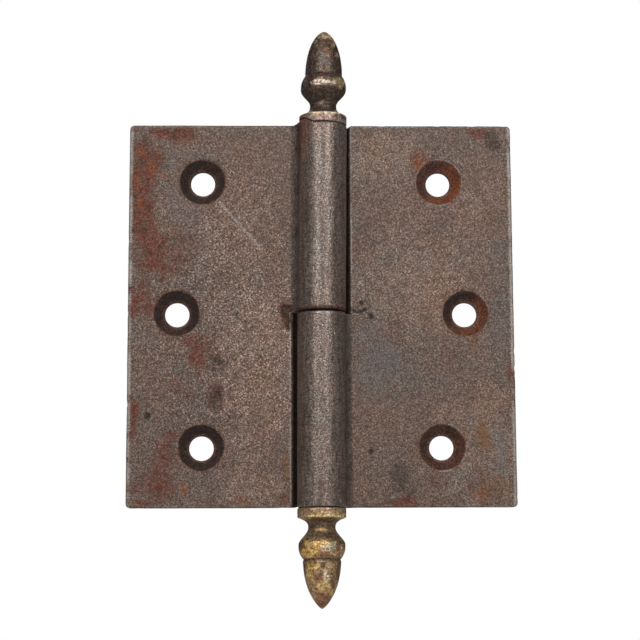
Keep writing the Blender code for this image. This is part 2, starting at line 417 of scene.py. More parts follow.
def knuckle_section():
    """The knuckle in plan, with the fillets that carry it into the leaf, as (x, y) round the axis."""
    front = FACE_Y - FRONT_FILLET + FILLET_SINK
    front_x = math.sqrt((KNUCKLE_RADIUS + FRONT_FILLET) ** 2 - front**2)
    front_angle = math.degrees(math.atan2(front, front_x))
    back = BACK_Y + BACK_FILLET - FILLET_SINK
    back_x = math.sqrt((KNUCKLE_RADIUS + BACK_FILLET) ** 2 - back**2)
    back_angle = math.degrees(math.atan2(back, back_x))
    barrel = arc_points((0, 0), KNUCKLE_RADIUS, back_angle, 360 + front_angle, KNUCKLE_STEPS)
    swept = arc_points((front_x, front), FRONT_FILLET, 180 + front_angle, 81, 9)[1:]
    middle = np.array([(front_x, (FACE_Y + BACK_Y) / 2)])
    rear = arc_points((back_x, back), BACK_FILLET, 270, 180 + back_angle, 5)[:-1]
    return np.concatenate([barrel, swept, middle, rear])


def seat_lift(side, x):
    """How far the knuckle's outer end rises on its leaf's side, before it sweeps down to the leaf."""
    rise = ease_mm(2.2, 5.6, x)
    fall = np.clip((KNUCKLE_RADIUS + 2.3 * MM - x) / (2.3 * MM), 0, 1) ** 2.6
    return SIDES[side]["lift"] * rise * fall


def knuckle(side):
    """The knuckle as one closed body: outside, both end faces and the bore."""
    end = SIDES[side]["end"]
    section = knuckle_section()
    outward = section / np.linalg.norm(section, axis=1)[:, None]
    rounding = round_over(END_ROUNDING, 5)
    rows = [(section - outward * inset, -end + rise) for inset, rise in rounding]
    low, high = -end + END_ROUNDING, BEARING_END - END_ROUNDING
    for z in np.linspace(low, high, round((high - low) / KNUCKLE_ROW))[1:-1]:
        rows.append((section, z))
    rows += [(section - outward * inset, BEARING_END - rise) for inset, rise in reversed(rounding)]
    face = section - outward * END_ROUNDING
    lip = outward * (BORE_RADIUS + 0.3 * MM)
    end_face = [lip * (1 - share) + face * share for share in (0.0, 0.33, 0.66)]
    rows += [(ring, BEARING_END) for ring in reversed(end_face)]
    for z in np.linspace(BEARING_END - 0.3 * MM, -end + 0.3 * MM, 14):
        rows.append((outward * BORE_RADIUS, z))
    rows += [(ring, -end) for ring in end_face]
    points = []
    for plan, z in rows:
        lifted = z - seat_lift(side, plan[:, 0]) * (1 - ease_mm(0, 3, z + end))
        points.append(np.column_stack([plan, lifted]))
    faces = grid_faces(len(rows), len(section), wrap_rows=True)
    return new_object(side + "_knuckle", np.concatenate(points), faces)


def joined(first, second):
    """The union of two closed bodies, as one new mesh on the first. It is worked out in millimetres."""
    for item in (first, second):
        item.data.transform(Matrix.Scale(1 / MM, 4))
    union = first.modifiers.new("Union", "BOOLEAN")
    union.operation = "UNION"
    union.object = second
    union.solver = "EXACT"
    graph = bpy.context.evaluated_depsgraph_get()
    mesh = bpy.data.meshes.new_from_object(first.evaluated_get(graph))
    mesh.transform(Matrix.Scale(MM, 4))
    first.modifiers.clear()
    first.data = mesh
    bpy.data.objects.remove(second, do_unlink=True)
    return first


# ---- age of the castings

# Places on a leaf's face are (x, z) in millimetres from the pintle's axis and the hinge's middle, as both
# leaves lie open. A stain is (x, z, half its width, half its height, strength), a dent (x, z, radius, depth)
DENTS = {
    "frame": [
        (10.5, 2.8, 0.55, 0.26), (11.4, 0.9, 0.6, 0.32), (13.1, -0.9, 0.75, 0.42), (12.8, -36.4, 0.5, 0.25),
        (30.5, 17, 0.55, 0.14), (44, -20.5, 0.6, 0.14),
    ],
    "door": [
        (-9, 1, 1.5, 0.6), (-8.8, -1.6, 1.7, 0.8), (-45.5, -27, 0.6, 0.2), (-20, -31, 0.5, 0.15),
        (-30, 12, 0.55, 0.14),
    ],
}

FRAME_STAINS = {
    "rust": [
        (26, 41, 2.4, 3.4, 0.5), (41.2, 48.9, 2.8, 1.6, 0.8), (49.6, -15, 1.5, 2.8, 0.85),
        (20.5, -49.8, 4.6, 1.6, 0.8), (43, -45.4, 5.6, 5.4, 0.45), (30, -44, 4, 3, 0.3),
        (12, 22, 4, 8, 0.25),
    ],
    "orange": [(26.2, 40.4, 1.6, 2.6, 0.45), (45.2, -43.6, 1.6, 1.4, 0.28), (41, -47.4, 1.3, 1.1, 0.28)],
    "dark": [
        (46.1, 46.3, 2.6, 3.6, 0.44), (20.5, -43.8, 4.6, 4.4, 0.5), (12.8, -36.4, 0.6, 0.6, 0.8),
        (10.5, 2.8, 0.6, 0.6, 1), (11.4, 0.9, 0.7, 0.7, 1), (13.1, -0.9, 0.85, 0.85, 1),
    ],
    "pale": [(26, 8, 16, 16, 0.7), (42, -36, 12, 16, 0.9), (40, 22, 9, 18, 0.4), (15, 43, 12, 7, 0.8)],
    "coarse": [(20, 14, 20, 26, 0.3)],
    "ochre": [(39.8, -9, 1.9, 2.6, 0.5), (42, -32.6, 2.6, 4.6, 0.75), (45.2, -46, 5, 4.4, 0.42)],
    "cool": [(14.5, -13, 7, 12, 0.5), (46, -4, 4, 8, 0.3), (46.5, -37, 2.6, 9, 0.4)],
}
DOOR_STAINS = {
    "rust": [
        (-47.3, 38, 4.4, 12, 1), (-47.2, 26, 3.2, 9, 0.95), (-44.6, 16.5, 4.8, 6.6, 0.82),
        (-46.4, 7.5, 2.2, 7, 0.6), (-41.2, 13.6, 4.2, 6, 0.45), (-47, 45.2, 2.8, 3, 0.95),
        (-39.8, 48.6, 7.4, 2.4, 0.95), (-38, 17.5, 6.2, 7.6, 0.5), (-49.6, 2.2, 1.6, 3.6, 0.85),
        (-45.3, 2.3, 1.7, 3.2, 0.65), (-32.2, -9.6, 5.2, 6.2, 0.72), (-36, -20, 4.4, 3, 0.42),
        (-27.8, -21.6, 2.8, 3.8, 0.6), (-49.3, -27, 2.2, 5.4, 0.9), (-40, -35.8, 3, 5.4, 0.75),
        (-43, -44.8, 5.6, 6, 0.75), (-9.6, -49, 2.6, 2.4, 0.7), (-9.2, 0, 2.6, 4, 0.7),
    ],
    "orange": [
        (-47.8, 43.4, 1.5, 2, 0.75), (-45.1, 38.4, 1.4, 4.4, 0.42), (-48.6, 35.2, 1.2, 3.4, 0.36),
        (-47.3, 29.6, 1.6, 3.6, 0.32), (-41.6, 37, 1.8, 1.2, 0.36), (-42.6, 20.5, 1, 3.4, 0.3),
        (-35.7, -46.2, 1.3, 1.8, 0.5), (-21, -49.2, 3, 1.5, 0.42),
    ],
    "dark": [
        (-27.6, -13.5, 3, 3.4, 0.42), (-27.8, -21.6, 2.6, 3.6, 0.5), (-45.5, -27, 1, 1.2, 0.8),
        (-9.2, 0.6, 2, 2.2, 0.75), (-8.5, -2.6, 1, 2.4, 0.75),
    ],
    "ochre": [(-9.4, -39.4, 1.2, 5, 0.7), (-9.4, -0.2, 1.8, 2.2, 0.6)],
    "pale": [(-16, -12, 12, 22, 1), (-22, 22, 14, 16, 0.35), (-17, -45, 10, 6, 0.7)],
    "coarse": [(-26, -2, 26, 36, 1)],
    "cool": [(-47.4, 38.8, 1, 2, 1), (-36, 28, 6, 9, 0.4)],
}
STAINS = {"frame": FRAME_STAINS, "door": DOOR_STAINS}

# A crack's parts on the frame leaf and a scratch on the door leaf: (start, end, half its width)
SCRATCHES = {
    "frame": [((7.8, 1.2), (9.3, 0.3), 0.55), ((9.3, 0.3), (11.1, 0.7), 0.5)],
    "door": [((-27.0, 29.8), (-15.6, 17.2), 0.6)],
}
SCRATCH_LOOKS = {"frame": ("dark", 1.0), "door": ("worn", 0.5)}

# How orange and how dark each countersink is, and how dark the painted shade on its side away from the
# light, in the order of the screw holes
COUNTERSINKS = {
    "frame": {"orange": (1.0, 0.75, 0.45), "dark": (0.28, 0.36, 0.62), "shade": (0.4, 0.75, 0.45)},
    "door": {"orange": (0.0, 0.0, 0.0), "dark": (0.92, 0.92, 0.96), "shade": (0.75, 0.75, 0.75)},
}


def spread_of(plan, spots, ragged):
    """How strongly a set of stains shows at each place, with ragged edges."""
    shown = np.zeros(len(plan))
    for x, z, wide, high, strength in spots:
        away = np.hypot((plan[:, 0] - x * MM) / (wide * MM), (plan[:, 1] - z * MM) / (high * MM))
        shown = np.maximum(shown, strength * ease(1.5, 0.3, away + 0.8 * ragged))
    return shown


def line_distance(plan, start, end):
    start, end = np.array(start) * MM, np.array(end) * MM
    along = end - start
    share = np.clip((plan - start) @ along / (along @ along), 0, 1)
    return np.linalg.norm(plan - start - share[:, None] * along, axis=1)


def edge_distance(points, side):
    """How far in a point lies from the leaf's outer edge, its clearing edge, and its top or bottom."""
    x, z = points[:, 0], points[:, 2]
    clearing = np.where(z > NOTCH_FLOOR, x - SIDES[side]["cut_back"], np.inf)
    level = np.where(x > KNUCKLE_RADIUS + 2 * MM, TOP - abs(z), np.inf)
    return np.maximum(REACH - x, 0), np.maximum(clearing, 0), np.maximum(level, 0)


def nearest_hole(points, side):
    """Which screw hole is nearest, the distance from its centre, and how far out towards the lit side."""
    centres = np.array(screw_holes(side))
    offsets = points[:, None, [0, 2]] - centres[None]
    distances = np.linalg.norm(offsets, axis=2)
    pick = distances.argmin(axis=1)
    rows = np.arange(len(points))
    return pick, distances[rows, pick], offsets[rows, pick] @ (0.8, -0.6) * SIDES[side]["turn"]


# Where a barrel's skin starts and ends to give way to the leaf's, in millimetres from the axis
BLEND_FROM = 5.9
BLEND_TO = 8.2


def knuckle_mask(points):
    """1 on the rounded outside of the knuckle and its fillets, 0 on the flat of the leaf."""
    x, y = points[:, 0], points[:, 1]
    flat = (x > KNUCKLE_RADIUS) & (y > FACE_Y - 0.04 * MM) & (y < BACK_Y + 0.04 * MM)
    return np.where(flat, 0.0, ease_mm(BLEND_TO, BLEND_FROM, x))


def leaning(points, side):
    """How far the outside of a barrel has been pushed over towards +X in the row frame."""
    half = SIDES[side]
    outer = ease(BORE_RADIUS + 0.4 * MM, KNUCKLE_RADIUS - 0.6 * MM, radii(points))
    height = np.clip(-points[:, 2] / half["end"], 0, 1.5)
    return half["lean"] * half["turn"] * outer * height


def leaf_relief(points, side):
    """How far the skin of a casting stands out: waves of the mould, its grain, nicked edges and dents."""
    seed = SIDES[side]["seed"]
    height = 0.05 * MM * noise(points, 12, seed, 2)
    height += 0.018 * MM * noise(points, 1.7, seed + 20, 2)
    edge = np.min(edge_distance(points, side), axis=0)
    nicks = ease(0.25, 0.75, noise(points, 2.4, seed + 30, 2))
    height -= 0.16 * MM * nicks * np.exp(-edge / (0.5 * MM))
    front = points[:, 1] < FACE_Y + 0.35 * MM
    plan = (points * SIDES[side]["turn"])[:, [0, 2]]
    for x, z, radius, depth in DENTS[side]:
        away = np.hypot(plan[:, 0] - x * MM, plan[:, 1] - z * MM) / (radius * MM)
        height -= front * depth * MM * ease(1.25, 0.2, away)
    rows = points * (1, 1, 0.12)
    height += 0.035 * MM * knuckle_mask(points) * noise(rows, 2.6, seed + 40, 2)
    return height


def leaf_masks(points, side):
    """Where rust, dirt and wear lie on a casting."""
    half = SIDES[side]
    seed = half["seed"]
    x, y, z = points.T
    plan = (points * half["turn"])[:, [0, 2]]
    ragged = noise(points, 3.2, seed + 50, 4)
    patchy = noise(points, 13, seed + 60, 3)
    front = ease(0.95, 0.5, (y - FACE_Y) / THICKNESS)
    barrel = knuckle_mask(points)
    face = front * (1 - barrel)
    masks = {kind: face * spread_of(plan, spots, ragged) for kind, spots in STAINS[side].items()}

    def add(kind, values):
        masks[kind] = np.maximum(masks[kind], values)

    # The back lay against damp timber, so it has rusted all over
    rusted = ease(-0.25, 0.45, patchy + 0.35 * ragged)
    add("rust", (1 - front) * (0.28 + 0.5 * rusted))
    add("dark", (1 - front) * 0.35 * ease(0.1, 0.5, -patchy))

    # Countersinks: bare rust in the cone, and painted shade on the half away from the light, where the
    # orange fades
    pick, from_hole, lit = nearest_hole(points, side)
    tints = {kind: np.array(shares)[pick] for kind, shares in COUNTERSINKS[side].items()}
    cone = face * ease_mm(6.15, 5.75, from_hole + 0.2 * MM * ragged)
    # Painted shade on the side of each cone away from the light
    shade = ease_mm(2.5, -3.5, lit + 3 * MM * ragged)
    flecks = 0.45 + 0.55 * ease(-0.3, 0.4, noise(points, 1.2, seed + 85, 2))
    ring = ease_mm(7.6, 6.2, from_hole + 0.9 * MM * ragged) * face
    blotch = ease(-0.35, 0.35, noise(points, 3.5, seed + 80, 3))
    add("orange", cone * tints["orange"] * flecks * (1 - 0.8 * shade))
    add("rust", 0.9 * cone)
    add("rust", 0.35 * ring)
    dirt_and_shade = np.maximum(tints["dark"] * (0.7 + 0.3 * blotch), tints["shade"] * shade)
    add("dark", cone * dirt_and_shade)
    rim = face * np.exp(-((from_hole - 6.25 * MM) / (0.22 * MM)) ** 2)

    # Wear along the edges, a darker line along the top and bottom edges, and painted shade in the corner
    # beside the knuckle
    outer, clearing, level = edge_distance(points, side)
    near = np.maximum(ease_mm(1.15, 0.75, outer), 0.4 * ease_mm(0.9, 0.3, level))
    rubbed = ease_mm(0.9, 0.5, clearing) * ease_mm(0.2, 0.4, clearing)
    near = np.maximum(near, 0.62 * rubbed)
    worn = near * ease(-0.7, 0.3, ragged) * front
    ringed = 0.55 if side == "frame" else 0.2
    masks["worn"] = np.maximum(worn, ringed * rim * ease(-0.6, 0.4, ragged))
    add("dark", 0.5 * np.exp(-level / (0.25 * MM)) * face)
    # Painted shade in the fillet where the knuckle meets the leaf's face
    fillet = ease_mm(5.4, 6.2, x) * ease_mm(8.6, 7.4, x + 0.4 * MM * ragged)
    fillet *= (z < 0) * front
    add("dark", 0.5 * fillet)

    # The knuckle is rubbed smooth, and rusty where it bears on the other one. On the door side that end also
    # gets painted shade.
    masks["polish"] = barrel * ease_mm(BLEND_TO, 7.4, x)
    bearing = ease_mm(-1.5, -0.5, z + 0.4 * MM * ragged) * barrel
    # On the door side the bearing end gets rust and painted shade
    if side == "door":
        add("rust", 0.85 * bearing)
        add("dark", 0.55 * bearing)
        stain = ease_mm(-36, -46, z + 5 * MM * ragged) * ease_mm(2.5, 5.0, x)
        add("rust", 0.6 * stain * barrel * front)
    else:
        add("worn", 0.45 * bearing)
    # Painted shade on the clearing edge's hollow, darker towards the back
    beside = (z > NOTCH_FLOOR) & (x < half["cut_back"] + 0.05 * MM)
    add("dark", 0.9 * ease_mm(0.6, 1.4, y - FACE_Y) * beside)
    inside = radii(points) < BORE_RADIUS + 0.25 * MM
    masks["dark"] = np.where(inside, 0.8, masks["dark"])
    kind, strength = SCRATCH_LOOKS[side]
    for start, end, width in SCRATCHES[side]:
        line = ease(1.0, 0.3, line_distance(plan, start, end) / (width * MM) + 0.5 * ragged)
        add(kind, strength * line * face)
    return masks


def casting(side):
    """A whole half of the hinge, as one closed body in the row frame, with its masks painted on."""
    item = joined(slab(side), knuckle(side))
    item.name = side + "_casting"
    points = positions(item)
    masks = leaf_masks(points, side)
    lean = leaning(points, side) * knuckle_mask(points)
    points = points + vertex_normals(item) * leaf_relief(points, side)[:, None]
    points[:, 0] += lean
    set_positions(item, to_row(points, side))
    paint(item, **masks)
    item.data.shade_smooth()
    return item


# ---- turned parts

TURNED_STEPS = 144
COLLAR_GAP = 0.12 * MM
COLLAR_RADIUS = 6.32 * MM
COLLAR_BORE = 3.4 * MM
COLLAR_LENGTH = 2.55 * MM
GROOVE_AT = 0.75 * MM  # from a beaded collar's far end
SHANK_RADIUS = 3.0 * MM
SHANK_LENGTH = 12 * MM
FOOT_RADIUS = 5.95 * MM
NECK_RADIUS = 3.52 * MM
CUP_RADIUS = 6.05 * MM
RIM_RADIUS = 4.95 * MM
FOOT_POWER = 3.0

# Distances from the knuckle's end to the neck, the cup's widest band and its rim, and the depth of the line
# that parts the cup from the nut, all in millimetres. "power" shapes the nut
ACORNS = {
    "door": {"neck": 5.7, "cup": (10.0, 10.7), "rim": 13.8, "crease": 0.02, "power": 0.56},
    "frame": {"neck": 5.2, "cup": (9.6, 10.2), "rim": 13.2, "crease": 0.22, "power": 0.72},
}

# Stains, painted highlights and painted shade on an acorn's front, as (across, distance from the knuckle's
# end, half its width, half its height, strength), in millimetres. Their bright spots are painted highlights,
# and the dark kind's wide bands between neck and cup and at the line between cup and nut are painted shade
LOWER_STAINS = {
    "gold": [
        (-3.5, 10.8, 2, 2.2, 1), (-0.9, 9.8, 1.3, 1.5, 0.8), (-2.6, 15, 1.7, 1.2, 1),
        (-3.2, 17, 0.6, 1.6, 0.7), (2.4, 22, 0.6, 1, 0.9), (0.2, 20, 1.9, 1.6, 0.5),
        (-0.6, 5.7, 2.2, 0.4, 0.5),
    ],
    "bright": [(0.9, 17.4, 0.8, 1.7, 1), (0.6, 10.4, 1.3, 1.1, 0.75), (4.8, 10.4, 0.5, 1, 0.8)],
    "rust": [
        (0.2, 11.6, 1.2, 0.6, 0.5), (3.9, 10.4, 0.55, 1.5, 0.9), (0.5, 12.5, 3.6, 0.55, 0.7),
        (-2.4, 4.7, 0.9, 0.6, 0.9), (-1.2, 18.2, 1.2, 1.3, 0.75), (0, 23.2, 2.2, 2.6, 0.7),
    ],
    "dark": [
        (0, 13.4, 9, 0.36, 0.95), (0, 7.4, 9, 0.9, 0.9), (1.5, 4.3, 3.4, 1.1, 0.8),
        (0.1, 14.8, 0.8, 1, 0.85), (4.2, 16, 0.6, 4, 0.75), (-4.6, 15.6, 0.4, 3, 0.7),
        (2.6, 19, 0.5, 2.2, 0.6),
    ],
    "cool": [
        (2.8, 10.2, 1.1, 1.5, 0.9), (2, 14.7, 1.3, 0.7, 0.4), (-1.4, 4.2, 1.2, 0.8, 0.5),
        (-1.2, 6.9, 1.5, 0.4, 0.3),
    ],
}
UPPER_STAINS = {
    "gold": [
        (0.2, 25.2, 3.2, 2.1, 0.9), (4.2, 10.9, 1.7, 1.5, 1), (-1, 11.4, 1.6, 0.9, 0.5),
        (-0.8, 5.7, 1.5, 0.5, 0.55), (-2.2, 22.4, 0.6, 1.2, 0.7), (2.3, 22.6, 0.8, 1.6, 0.8),
    ],
    "bright": [(-0.4, 10.7, 3.3, 0.7, 1), (3.5, 18.9, 0.55, 1, 1), (0.1, 23.8, 1, 0.5, 0.6)],
    "rust": [(0.4, 22.6, 1.6, 1, 0.9), (-1, 4.4, 2, 0.5, 0.7), (1.2, 10, 1.8, 0.5, 0.5)],
    "dark": [
        (0, 7.9, 9, 1.5, 1), (-3.6, 17.5, 1.3, 5.5, 0.85), (3.4, 16, 1.2, 3.6, 0.75),
        (0, 13.2, 5.5, 0.7, 0.7), (0.4, 22.6, 1.4, 0.8, 0.7),
    ],
    "cool": [(-4.9, 11, 0.8, 1.4, 0.7), (-4.3, 16, 0.5, 4, 0.7), (0.2, 17.2, 1.3, 1.2, 0.5)],
}
ACORN_STAINS = {"frame": LOWER_STAINS, "door": UPPER_STAINS}


def turned(name, corners, spacing, closed=False):
    """A body turned about the pintle's axis from (radius, z) in a half's own frame, ends on the axis."""
    profile = fill_line(np.array(corners), spacing, closed)
    circle = circle_points(TURNED_STEPS)
    rings = profile if closed else profile[1:-1]
    points = np.concatenate([np.insert(circle * r, 2, z, axis=1) for r, z in rings])
    faces = grid_faces(len(rings), TURNED_STEPS, wrap_rows=closed)
    if not closed:
        points = np.concatenate([points, [(0, 0, profile[0][1]), (0, 0, profile[-1][1])]])
        first, last, start = len(points) - 2, len(points) - 1, len(points) - 2 - TURNED_STEPS
        for i in range(TURNED_STEPS):
            j = (i + 1) % TURNED_STEPS
            faces += [(first, j, i), (last, start + i, start + j)]
    return new_object(name, points, faces)


def finial_profile(acorn, tip_at, foot_at):
    """(radius, distance from the knuckle's end) of the acorn: shank, foot, neck, cup and nut."""
    neck_at, rim_at, crease = (acorn[key] * MM for key in ("neck", "rim", "crease"))
    cup_from, cup_to = (distance * MM for distance in acorn["cup"])
    points = [(0.0, -SHANK_LENGTH), (SHANK_RADIUS - 0.5 * MM, -SHANK_LENGTH)]
    points += [(SHANK_RADIUS, -SHANK_LENGTH + 0.5 * MM), (SHANK_RADIUS, foot_at)]
    points.append((FOOT_RADIUS - 0.2 * MM, foot_at))

    def part(first, last, shares, radius, change, shape):
        for share in shares:
            points.append((radius + change * shape(share), first + (last - first) * share))

    waist = NECK_RADIUS, FOOT_RADIUS - NECK_RADIUS
    part(neck_at, foot_at, np.linspace(0.97, 0.03, 22), *waist, lambda share: share**FOOT_POWER)
    waist = NECK_RADIUS, CUP_RADIUS - NECK_RADIUS
    part(neck_at, cup_from, np.linspace(0, 1, 34), *waist, lambda share: (1 - math.cos(math.pi * share)) / 2)
    waist = CUP_RADIUS, RIM_RADIUS + 0.05 * MM - CUP_RADIUS
    part(cup_to, rim_at - 0.15 * MM, np.linspace(0, 1, 24), *waist, lambda share: share**2)
    points.append((RIM_RADIUS - crease, rim_at + 0.06 * MM))
    shares = np.sin(np.linspace(0.02, 0.985, 56) * math.pi / 2)
    part(rim_at + 0.12 * MM, tip_at, shares, 0, RIM_RADIUS, lambda share: (1 - share**2) ** acorn["power"])
    points.append((0.0, tip_at))
    return points


def finish_turned(item, side, seed, roughness, far_lean=0.0):
    """Uneven hand finishing, the barrel's lean, and the move from the half's frame to the row frame."""
    half = SIDES[side]
    points = positions(item)
    height = roughness * noise(points, 3.0, seed, 2)
    height += 0.3 * roughness * noise(points, 0.8, seed + 5, 2)
    points = points + vertex_normals(item) * height[:, None]
    beyond = np.clip((-points[:, 2] - half["end"]) / (26 * MM), 0, 1)
    points[:, 0] += half["turn"] * (half["lean"] * (points[:, 2] < 2 * MM - half["end"]) + far_lean * beyond)
    set_positions(item, to_row(points, side))
    item.data.shade_smooth()
    return item


def finial(name, side, tip_at, far_lean, seed):
    """An acorn with its shank, and its stains, painted highlights and painted shade: some listed, others
    over all of it.
    """
    end = SIDES[side]["end"]
    acorn = ACORNS[side]
    foot_at = COLLAR_GAP + COLLAR_LENGTH + 0.05 * MM
    outline = [(r, -end - d) for r, d in finial_profile(acorn, tip_at, foot_at)]
    item = turned(name, outline, 0.28 * MM)
    points = positions(item)
    across = points[:, 0] * SIDES[side]["turn"]
    distance = -points[:, 2] - end
    ragged = noise(points, 1.8, seed + 70, 3)
    front = ease_mm(1.0, -1.5, points[:, 1])
    plan = np.stack([across, distance], 1)
    masks = {kind: front * spread_of(plan, spots, ragged) for kind, spots in ACORN_STAINS[side].items()}
    neck = ease_mm(2.8, 3.4, distance)
    neck *= ease_mm(acorn["cup"][0], acorn["neck"] + 1, distance)
    crease = np.exp(-((distance - acorn["rim"] * MM) / (0.35 * MM)) ** 2)
    hollow = np.maximum(0.75 * neck, (0.85 if side == "frame" else 0.25) * crease)
    # The neck and the line between cup and nut are darker, less so under the gold and the painted highlight
    rubbed = np.maximum(masks["gold"], masks["bright"])
    masks["dark"] = np.maximum(masks["dark"], hollow * (1 - 0.8 * rubbed) * (0.85 + 0.35 * ragged))
    paint(item, **masks)
    paint(item, patchy=0.5 + 0.5 * noise(points, 4.5, seed + 90, 3))
    return finish_turned(item, side, seed, 0.035 * MM, far_lean)


def collar(name, side, beaded, seed):
    """The ring between knuckle and finial. Over a raised knuckle end it thins to a wedge."""
    end = SIDES[side]["end"]
    near, far = COLLAR_GAP, COLLAR_GAP + COLLAR_LENGTH
    soft = 0.35 * MM
    inner = COLLAR_RADIUS - soft
    corner = [(inner + soft * math.sin(a), soft * math.cos(a)) for a in np.radians(np.linspace(15, 90, 6))]
    outer = [(COLLAR_BORE, near), (inner, near)] + [(r, near + soft - d) for r, d in corner]
    if beaded:
        groove = far - GROOVE_AT
        outer += [(COLLAR_RADIUS, groove - 0.25 * MM), (COLLAR_RADIUS - 0.09 * MM, groove)]
        outer.append((COLLAR_RADIUS, groove + 0.2 * MM))
    outer += [(r, far - soft + d) for r, d in reversed(corner)] + [(inner, far), (COLLAR_BORE, far)]
    item = turned(name, [(r, -end - d) for r, d in outer], 0.18 * MM, closed=True)
    points = positions(item)
    across = points[:, 0] * SIDES[side]["turn"]
    share = np.clip((-points[:, 2] - end - near) / COLLAR_LENGTH, 0, 1)
    ragged = noise(points, 1.6, seed + 70, 3)
    # Painted highlight along the outer corner of the far end; an unbeaded collar gets half as much gold
    # there
    bright = ease(COLLAR_RADIUS - 0.9 * MM, COLLAR_RADIUS - 0.2 * MM, radii(points))
    bright *= ease(0.72, 0.9, share)
    gold = 0.5 * bright
    # Painted shade at the end against the knuckle. A beaded collar also gets a painted glint beside the
    # middle, and painted shade in its groove and towards its left and right sides
    dark = 0.8 * ease(0.14, 0.0, share)
    if beaded:
        glint = ease_mm(2.4, 0.8, abs(across - 1.2 * MM)) * ease(0.6, 0.7, share)
        bright = np.maximum(bright, glint)
        gold = ease(0.58, 0.72, share)
        groove = np.exp(-((share - 1 + GROOVE_AT / COLLAR_LENGTH) / 0.06) ** 2)
        ends = ease_mm(4.6, 6.0, abs(across) + 0.8 * MM * ragged)
        dark = np.maximum(dark, np.maximum(0.5 * groove, 0.6 * ends))
    paint(item, bright=bright * (0.85 + 0.4 * ragged))
    paint(item, gold=gold * ease_mm(-6.5, -3.5, across + MM * ragged))
    paint(item, dark=dark * (0.85 + 0.3 * ragged))
    stained = ease_mm(-2.5, -5.0, across + MM * ragged)
    paint(item, rust=(0.4 if beaded else 0.85) * stained)
    paint(item, patchy=0.5 + 0.5 * noise(points, 3.2, seed + 90, 3))
    points[:, 2] -= seat_lift(side, points[:, 0]) * (1 - share)
    set_positions(item, points)
    return finish_turned(item, side, seed, 0.03 * MM)


def pin():
    low, high = PIN_LOW[2], PIN_HIGH[2]
    radius = (PIN_HIGH[0] - PIN_LOW[0]) / 2
    chamfer = 0.8 * MM
    outline = [(0.0, low), (radius - chamfer, low), (radius, low + chamfer), (radius, high - chamfer)]
    outline += [(radius - 0.15 * MM, high - chamfer * 0.6), (radius - chamfer, high), (0.0, high)]
    item = turned("pintle", outline, 0.4 * MM)
    points = positions(item)
    ragged = noise(points, 2.5, 301, 3)
    grease = ease_mm(4, 0.5, points[:, 2] + 2 * MM * ragged)
    paint(item, dark=0.35 * grease + 0.3 * ease(0.1, 0.6, ragged))
    points += vertex_normals(item) * (0.004 * MM * noise(points, 3.0, 300, 2))[:, None]
    set_positions(item, to_row(points, "frame"))
    item.data.shade_smooth()
    return item


# ---- materials

SEED_STEP = 3.7  # how far apart the noise of two seeds lies
CELL_STEPS = (0.37, 0.53, 0.71)


